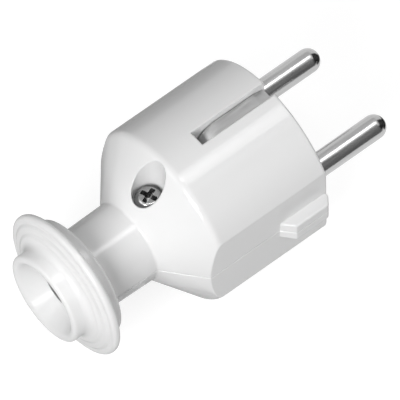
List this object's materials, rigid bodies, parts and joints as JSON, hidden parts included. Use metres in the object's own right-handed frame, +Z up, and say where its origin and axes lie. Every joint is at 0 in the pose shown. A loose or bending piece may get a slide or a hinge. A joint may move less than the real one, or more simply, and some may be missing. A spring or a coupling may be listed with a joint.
{
  "type": "straight mains plug",
  "caption": "Straight earthed mains plug with round contact pins, side earth contacts and guide ribs: a split white housing closed by a screw, with a flanged cord bush on its neck.",
  "frame": {"origin": "middle of the housing's flat front face, between the contact pins", "axes": "+X out of the front face along the pins, Y from pin to pin, +Z up through the side of the housing with the screw's head"},
  "size_m": [0.0727, 0.0368, 0.0364],
  "materials": {
    "housing_white": "satin moulded",
    "bush_white": "satin moulded",
    "pin_nickel": "bright nickel plate",
    "earth_steel": "tinned, dull",
    "screw_steel": "zinc plated",
    "jaw_grey": "matt moulded"
  },
  "bodies": {
    "root": {"upper_shell": "housing_white", "lower_shell": "housing_white", "cord_bush": "bush_white", "contact_pin_left": "pin_nickel", "contact_pin_right": "pin_nickel", "terminal_screw_left": "screw_steel", "terminal_screw_right": "screw_steel", "earth_strip": "earth_steel", "earth_plate": "earth_steel", "earth_rivet": "earth_steel", "earth_saddle": "screw_steel", "earth_screw": "screw_steel", "housing_screw": "screw_steel", "housing_nut": "screw_steel", "cord_jaw_upper": "jaw_grey", "cord_jaw_lower": "jaw_grey"}
  },
  "joints": []
}
